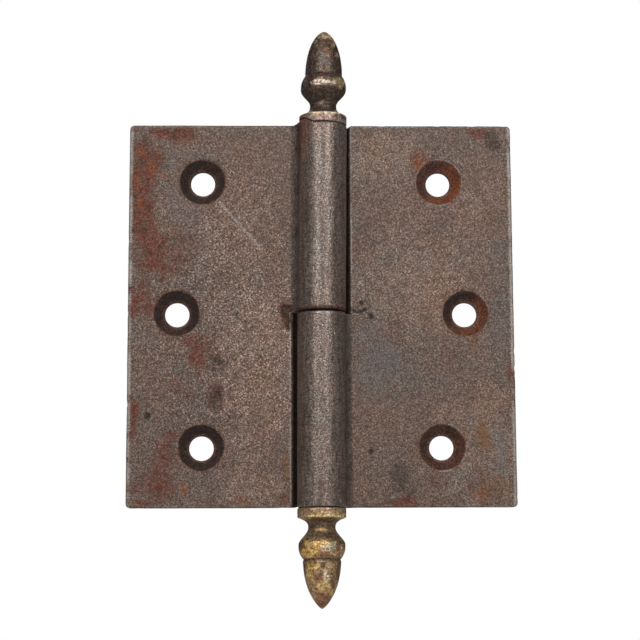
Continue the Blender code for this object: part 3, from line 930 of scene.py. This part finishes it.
class Look:
    """A material in the making, with short ways to add the nodes it needs."""

    def __init__(self, name):
        self.material = bpy.data.materials.new(name)
        self.material.use_nodes = True
        self.tree = self.material.node_tree
        self.shader = self.tree.nodes["Principled BSDF"]
        self.place = self.add("ShaderNodeTexCoord", {}).outputs["Object"]

    def add(self, kind, inputs, **settings):
        """A new node, with inputs by name or number: constants, or other nodes' outputs."""
        node = self.tree.nodes.new(kind)
        for key, value in settings.items():
            setattr(node, key, value)
        for key, value in inputs.items():
            self.feed(node.inputs[key], value)
        return node

    def feed(self, socket, value):
        if isinstance(value, bpy.types.NodeSocket):
            self.tree.links.new(value, socket)
        else:
            socket.default_value = value

    def mask(self, name):
        return self.add("ShaderNodeAttribute", {}, attribute_name=name).outputs["Fac"]

    def noise(self, size, seed, detail=3.0, roughness=0.55, stretch=(1, 1, 1)):
        """Noise from 0 to 1 whose features are about this many millimetres wide."""
        place = self.add("ShaderNodeMapping", {"Vector": self.place, "Scale": stretch}).outputs["Vector"]
        inputs = {"Vector": place, "W": seed * SEED_STEP, "Scale": 1 / (size * MM), "Detail": detail}
        inputs["Roughness"] = roughness
        return self.add("ShaderNodeTexNoise", inputs, noise_dimensions="4D").outputs["Fac"]

    def cells(self, size, seed):
        """A random value from 0 to 1 for each grain of about this many millimetres."""
        shift = tuple(seed * step for step in CELL_STEPS)
        place = self.add("ShaderNodeMapping", {"Vector": self.place, "Location": shift}).outputs["Vector"]
        inputs = {"Vector": place, "Scale": 1 / (size * MM)}
        cell = self.add("ShaderNodeTexVoronoi", inputs, feature="F1", voronoi_dimensions="3D")
        return self.add("ShaderNodeSeparateColor", {"Color": cell.outputs["Color"]}).outputs["Red"]

    def ramp(self, value, *stops):
        """A colour ramp over (position, grey or colour) stops."""
        node = self.add("ShaderNodeValToRGB", {"Fac": value})
        elements = node.color_ramp.elements
        while len(elements) < len(stops):
            elements.new(0.5)
        for element, (position, colour) in zip(elements, stops):
            element.position = position
            element.color = (*colour, 1) if isinstance(colour, tuple) else (colour, colour, colour, 1)
        return node.outputs["Color"]

    def sum(self, first, second, factor=1.0):
        """first + second * factor, kept between 0 and 1."""
        inputs = {0: second, 1: factor, 2: first}
        return self.add("ShaderNodeMath", inputs, operation="MULTIPLY_ADD", use_clamp=True).outputs[0]

    def times(self, first, second):
        return self.add("ShaderNodeMath", {0: first, 1: second}, operation="MULTIPLY").outputs[0]

    def blend(self, share, first, second, kind="MIX"):
        first, second = ((*v, 1) if isinstance(v, tuple) else v for v in (first, second))
        inputs = {"Factor": share, 6: first, 7: second}
        return self.add("ShaderNodeMix", inputs, data_type="RGBA", blend_type=kind).outputs[2]

    def cover(self, under, share, factor, over):
        """One colour laid over another as far as share * factor says."""
        return self.blend(self.sum(0, share, factor), under, over)

    def shade(self, colour, shades):
        return self.blend(1.0, colour, shades, "MULTIPLY")

    def broken(self, name, noise):
        """A painted mask that is solid where it is strong and thins out in specks and wisps."""
        painted = self.mask(name)
        gate = self.ramp(noise, (0.34, 0), (0.66, 1))
        gated = self.times(gate, self.ramp(painted, (0, 0), (0.3, 1)))
        return self.ramp(self.sum(self.sum(0, painted, 0.85), gated, 0.5), (0.3, 0), (0.9, 1))

    def bumps(self, *layers):
        """Bumps laid over each other, from (height, distance in millimetres, strength)."""
        under = {}
        for height, distance, strength in layers:
            inputs = {"Height": height, "Distance": distance * MM, "Strength": strength}
            under["Normal"] = self.add("ShaderNodeBump", inputs | under).outputs["Normal"]
        return under["Normal"]

    def finish(self, colour, metallic, roughness, normal):
        parts = {"Base Color": colour, "Metallic": metallic, "Roughness": roughness, "Normal": normal}
        for name, value in parts.items():
            self.feed(self.shader.inputs[name], value)
        return self.material


def cast_iron():
    look = Look("cast_iron")
    ramp, blend, cover, shade, broken = look.ramp, look.blend, look.cover, look.shade, look.broken
    grain = look.noise(0.4, 1, 1.0, 0.5)
    fine = look.noise(0.28, 2, 1.0, 0.5)
    sand = look.cells(0.31, 1)
    mottle = look.noise(1.6, 3, 5.0, 0.72)
    cloud = look.noise(8.0, 4, 4.0, 0.6)
    haze = look.noise(22.0, 5, 3.0, 0.5)
    streaks = look.noise(0.9, 6, 3.0, 0.6, stretch=(1, 1, 0.12))
    hue = look.noise(2.4, 8, 4.0, 0.7)

    clouded = ramp(cloud, (0.4, 0), (0.62, 1))
    skin = blend(clouded, (0.16, 0.096, 0.069), (0.14, 0.106, 0.086))
    skin = blend(ramp(haze, (0.42, 0), (0.66, 0.55)), skin, (0.19, 0.112, 0.082))
    skin = blend(ramp(mottle, (0.28, 0.7), (0.48, 0)), skin, (0.085, 0.052, 0.038))
    skin = blend(ramp(mottle, (0.54, 0), (0.76, 0.5)), skin, (0.27, 0.2, 0.155))
    skin = shade(skin, ramp(grain, (0.34, (0.6, 0.57, 0.55)), (0.5, 0.96), (0.66, (1.4, 1.46, 1.52))))
    calm = ramp(sand, (0, (0.56, 0.53, 0.51)), (0.45, (0.85, 0.85, 0.85)), (1, (1.72, 1.88, 1.98)))
    stops = ((0, (0.32, 0.29, 0.27)), (0.4, (0.77, 0.75, 0.735)), (0.82, (1.38, 1.45, 1.5)))
    harsh = ramp(sand, *stops, (1, (2.7, 3.2, 3.55)))
    coarse = look.mask("coarse")
    skin = shade(skin, blend(coarse, calm, harsh))
    skin = blend(broken("pale", mottle), skin, shade(skin, (1.36, 1.32, 1.29)))
    specks = look.times(ramp(fine, (0.58, 0), (0.74, 0.6)), ramp(coarse, (0, 0.5), (1, 1)))
    skin = blend(specks, skin, (0.42, 0.36, 0.315))

    barrel = look.mask("polish")
    clouded = ramp(cloud, (0.4, 0), (0.6, 1))
    rubbed = blend(clouded, (0.268, 0.198, 0.165), (0.248, 0.204, 0.176))
    rubbed = shade(rubbed, ramp(sand, (0, 0.46), (0.5, 0.95), (1, 1.75)))
    rubbed = blend(ramp(streaks, (0.36, 0.55), (0.54, 0)), rubbed, (0.085, 0.058, 0.045))
    colour = cover(skin, barrel, 0.9, rubbed)

    def three(*tints, middle=0.5):
        """Tints for the darkest, the middling and the brightest grains of sand."""
        return ramp(sand, *zip((0, middle, 1.0), tints))

    steel_grey = ramp(grain, (0.3, (0.065, 0.066, 0.072)), (0.7, (0.19, 0.19, 0.2)))
    colour = cover(colour, broken("cool", mottle), 0.5, steel_grey)
    brick = three((0.085, 0.018, 0.011), (0.152, 0.034, 0.02), (0.27, 0.085, 0.056))
    brown = three((0.056, 0.024, 0.014), (0.104, 0.048, 0.028), (0.22, 0.115, 0.071))
    rust = broken("rust", mottle)
    rusty = blend(ramp(hue, (0.42, 0), (0.58, 1)), brick, brown)
    colour = cover(colour, rust, 0.92, rusty)
    ochre = ramp(sand, (0, (0.1, 0.048, 0.02)), (1, (0.3, 0.145, 0.056)))
    colour = cover(colour, broken("ochre", mottle), 0.8, ochre)
    orange = look.times(broken("orange", mottle), ramp(hue, (0.34, 0.55), (0.58, 1)))
    fresh = three((0.13, 0.03, 0.007), (0.26, 0.06, 0.01), (0.43, 0.13, 0.03))
    colour = cover(colour, orange, 0.9, fresh)
    # The dark mask's tint covers real dirt and painted shade in the countersinks, fillets, clearing edge and
    # bearing end
    dark = broken("dark", mottle)
    dirt_and_shade_tint = three((0.011, 0.008, 0.007), (0.026, 0.017, 0.013), (0.09, 0.042, 0.026), middle=0.8)
    colour = cover(colour, dark, 0.9, dirt_and_shade_tint)
    worn = broken("worn", fine)
    bare = ramp(grain, (0.3, (0.26, 0.215, 0.19)), (0.7, (0.58, 0.52, 0.47)))
    colour = cover(colour, worn, 0.85, bare)

    # Rust, orange and the dark mask, both the real dirt and the painted shade, make the surface duller
    oxide_and_shade = look.sum(look.sum(rust, dark), orange)
    metallic = blend(barrel, (0.42, 0.42, 0.42), (0.62, 0.62, 0.62))
    metallic = blend(ramp(oxide_and_shade, (0, 0), (0.7, 1)), metallic, (0.03, 0.03, 0.03))
    metallic = look.sum(metallic, worn, 0.35)
    roughness = ramp(look.sum(look.times(mottle, grain), oxide_and_shade, 0.35), (0.1, 0.46), (0.6, 0.78))
    roughness = cover(roughness, barrel, 0.85, ramp(mottle, (0.3, 0.28), (0.7, 0.42)))
    pits = ramp(look.noise(0.9, 7, 2.0, 0.5), (0.28, 0), (0.42, 1))
    normal = look.bumps((pits, 0.1, 0.55), (grain, 0.14, 0.6), (fine, 0.04, 0.6))
    return look.finish(colour, metallic, roughness, normal)


COOL_TINTS = ((0.29, 0.275, 0.185), (0.62, 0.6, 0.43))
STEELY_TINTS = ((0.075, 0.078, 0.08), (0.2, 0.205, 0.205))
GOLD_TINTS = ((0.36, 0.18, 0.045), (0.74, 0.45, 0.125), (0.98, 0.7, 0.28))
DULL_GOLD_TINTS = ((0.2, 0.13, 0.07), (0.46, 0.33, 0.175), (0.8, 0.62, 0.39))


def aged_brass(name, tints, seed, roughness=(0.3, 0.56), sheen=0.95, cools=COOL_TINTS, golds=GOLD_TINTS):
    """Old brass. The tints are those of its tarnish, its bare metal and its painted highlight."""
    tarnish, bare, painted_highlight_tint = tints
    look = Look(name)
    ramp, cover, broken = look.ramp, look.cover, look.broken
    grain = look.noise(0.36, seed, 1.5, 0.6)
    sand = look.cells(0.38, seed)
    specks = look.noise(0.55, seed + 3, 2.0, 0.6)
    mottle = look.noise(1.1, seed + 1, 4.0, 0.7)
    cloud = look.noise(4.0, seed + 2, 3.0, 0.6)
    share = look.sum(ramp(mottle, (0.34, 0), (0.66, 1)), look.mask("patchy"), 0.45)
    colour = look.blend(ramp(share, (0.25, 0), (0.95, 1)), tarnish, bare)
    colour = look.blend(ramp(cloud, (0.45, 0), (0.62, 0.5)), colour, (0.26, 0.115, 0.075))
    gold, cool, rust, dark = (broken(kind, mottle) for kind in ("gold", "cool", "rust", "dark"))
    colour = cover(colour, gold, 0.9, ramp(mottle, *zip((0.32, 0.5, 0.66), golds)))
    colour = cover(colour, cool, 0.8, ramp(grain, *zip((0.34, 0.66), cools)))
    bright = look.times(broken("bright", specks), ramp(sand, (0.1, 0.25), (0.6, 1)))
    colour = cover(colour, bright, 0.85, painted_highlight_tint)
    rusty = ramp(grain, (0.34, (0.13, 0.04, 0.022)), (0.66, (0.36, 0.15, 0.08)))
    colour = cover(colour, rust, 0.8, rusty)
    # The dark mask's tint covers real dark patches and painted shade in the acorns' bands and the collars'
    # ends, groove and sides
    dirt_and_shade_tint = ramp(sand, (0, (0.026, 0.017, 0.014)), (1, (0.11, 0.07, 0.05)))
    colour = cover(colour, dark, 0.85, dirt_and_shade_tint)
    pitted = ramp(specks, (0.56, 0), (0.66, 0.8))
    colour = look.blend(pitted, colour, (0.05, 0.032, 0.024))
    colour = look.shade(colour, ramp(sand, (0, 0.6), (0.5, 0.95), (1, 1.6)))
    dull = look.sum(look.sum(dark, rust), pitted, 0.8)
    dull = look.sum(look.sum(dull, gold, 0.85), look.sum(cool, bright, 0.6), 0.8)
    metallic = ramp(dull, (0, sheen), (0.9, 0.45 * sheen))
    rough = ramp(look.sum(mottle, dull, 0.35), (0.3, roughness[0]), (0.9, roughness[1]))
    normal = look.bumps((mottle, 0.16, 0.7), (specks, 0.1, 0.8), (grain, 0.06, 0.8))
    return look.finish(colour, metallic, rough, normal)


def turned_steel():
    look = Look("pin_steel")
    rings = look.noise(0.25, 61, 3.0, 0.6, stretch=(0.1, 0.1, 1))
    mottle = look.noise(1.8, 62, 4.0, 0.6)
    colour = look.ramp(rings, (0.3, (0.3, 0.29, 0.28)), (0.7, (0.5, 0.49, 0.47)))
    dark = look.broken("dark", mottle)
    colour = look.cover(colour, dark, 0.7, (0.1, 0.065, 0.045))
    roughness = look.ramp(look.sum(mottle, dark, 0.3), (0.3, 0.24), (0.85, 0.5))
    metallic = look.ramp(dark, (0, 1), (1.0, 0.5))
    return look.finish(colour, metallic, roughness, look.bumps((rings, 0.02, 0.5)))


# ---- the hinge

CAST_IRON = cast_iron()
UPPER_BRASS = aged_brass(
    "upper_finial_brass", ((0.09, 0.064, 0.05), (0.2, 0.15, 0.11), (0.8, 0.68, 0.56)), 20,
    roughness=(0.4, 0.6), cools=STEELY_TINTS, golds=DULL_GOLD_TINTS,
)
LOWER_BRASS = aged_brass("lower_finial_brass", ((0.35, 0.19, 0.09), (0.78, 0.53, 0.27), (1, 0.75, 0.5)), 30)
UPPER_COLLAR = aged_brass(
    "upper_collar_brass", ((0.3, 0.205, 0.16), (0.66, 0.53, 0.44), (0.84, 0.72, 0.52)), 40,
    roughness=(0.42, 0.6), sheen=0.75,
)
LOWER_COLLAR = aged_brass(
    "lower_collar_brass", ((0.4, 0.25, 0.14), (0.88, 0.66, 0.42), (0.98, 0.8, 0.46)), 50,
    roughness=(0.34, 0.55), sheen=0.85,
)
PIN_STEEL = turned_steel()


def fit(item, material, node, body):
    """Puts a finished piece in a CAD node's place."""
    item.data.materials.clear()
    item.data.materials.append(material)
    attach(item, body)
    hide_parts(node)


UPPER_TIP_AT = box_of("upper_finial")[1][2] - KNUCKLE_END
LOWER_TIP_AT = -box_of("lower_finial")[0][2] - KNUCKLE_END
fit(casting("frame"), CAST_IRON, "frame_leaf", "frame_side")
fit(casting("door"), CAST_IRON, "door_leaf", "door_side")
fit(pin(), PIN_STEEL, "pintle_pin", "pintle")
UPPER_ACORN = finial("upper_acorn", "door", UPPER_TIP_AT, 0.4 * MM, 120)
LOWER_ACORN = finial("lower_acorn", "frame", LOWER_TIP_AT, 0.0, 140)
fit(UPPER_ACORN, UPPER_BRASS, "upper_finial", "door_side")
fit(LOWER_ACORN, LOWER_BRASS, "lower_finial", "frame_side")
fit(collar("upper_ring", "door", False, 160), UPPER_COLLAR, "upper_collar", "door_side")
fit(collar("lower_ring", "frame", True, 180), LOWER_COLLAR, "lower_collar", "frame_side")


# ---- studio

LENS = 98.1
CAMERA_PLACE = (-38.5, -456.7, -70.24)  # in millimetres, like its target
CAMERA_TARGET = (-25.8, -4.7, -1.94)
CAMERA_ROLL = -0.25  # in degrees
FLOOR_RADIUS = 0.85
FLOOR_HEIGHT = -0.135
DOME_RADIUS = 3.0
LIGHT_DISTANCE = 0.9
WORLD_STRENGTH = 0.07


def plain(name, colour, roughness):
    look = Look(name)
    wash = look.noise(350, 90, 2.0, 0.4)
    tint = look.ramp(wash, (0.3, tuple(c * 0.985 for c in colour)), (0.7, colour))
    return look.finish(tint, 0.0, roughness, look.bumps((look.noise(4, 91), 0.02, 0.2)))


def studio_floor():
    place = (AXIS[0], 0, FLOOR_HEIGHT)
    bpy.ops.mesh.primitive_circle_add(vertices=96, radius=FLOOR_RADIUS, fill_type="NGON", location=place)
    floor = bpy.context.object
    floor.name = "studio_floor"
    floor.data.materials.append(plain("pale_floor", (0.8, 0.8, 0.79), 0.85))


def backdrop():
    """A plain white surround that only the camera sees."""
    bpy.ops.mesh.primitive_uv_sphere_add(segments=48, ring_count=24, radius=DOME_RADIUS)
    dome = bpy.context.object
    dome.name = "backdrop"
    material = bpy.data.materials.new("white_backdrop")
    material.use_nodes = True
    nodes = material.node_tree.nodes
    nodes.clear()
    glow = nodes.new("ShaderNodeEmission")
    glow.inputs["Strength"].default_value = 1.0
    output = nodes.new("ShaderNodeOutputMaterial")
    material.node_tree.links.new(glow.outputs["Emission"], output.inputs["Surface"])
    dome.data.materials.append(material)
    dome.visible_diffuse = False
    dome.visible_glossy = False
    dome.visible_transmission = False
    dome.visible_shadow = False


def soft_box(name, azimuth, elevation, width, height, power):
    """A soft box that looks at the hinge's middle. Azimuth is from the front, to the right."""
    middle = Vector((AXIS[0], AXIS[1], 0))
    across, up = math.radians(azimuth), math.radians(elevation)
    direction = Vector((math.sin(across) * math.cos(up), -math.cos(across) * math.cos(up), math.sin(up)))
    lamp = bpy.data.lights.new(name, "AREA")
    lamp.shape = "RECTANGLE"
    lamp.size = width
    lamp.size_y = height
    lamp.energy = power
    item = linked(name, lamp)
    item.location = middle + direction * LIGHT_DISTANCE
    item.rotation_euler = direction.to_track_quat("Z", "Y").to_euler()
    item.visible_camera = False


def camera():
    lens = bpy.data.cameras.new("camera")
    lens.lens = LENS
    lens.sensor_width = 36
    lens.clip_start = 0.01
    item = linked("camera", lens)
    place, target = Vector(CAMERA_PLACE) * MM, Vector(CAMERA_TARGET) * MM
    aim = (target - place).to_track_quat("-Z", "Y")
    roll = Matrix.Rotation(math.radians(CAMERA_ROLL), 4, "Z")
    item.matrix_world = Matrix.Translation(place) @ aim.to_matrix().to_4x4() @ roll
    bpy.context.scene.camera = item


studio_floor()
backdrop()
soft_box("left_soft_box", -24, 27, 0.22, 0.66, 3.0)
soft_box("right_soft_box", 24, 27, 0.22, 0.66, 3.0)
soft_box("rear_soft_box", 180, 30, 0.6, 0.6, 2.4)
world = bpy.data.worlds.new("studio_light")
world.use_nodes = True
background = world.node_tree.nodes["Background"]
background.inputs["Color"].default_value = (0.95, 0.97, 1.0, 1)
background.inputs["Strength"].default_value = WORLD_STRENGTH
bpy.context.scene.world = world
bpy.context.scene.view_settings.view_transform = "Standard"
camera()
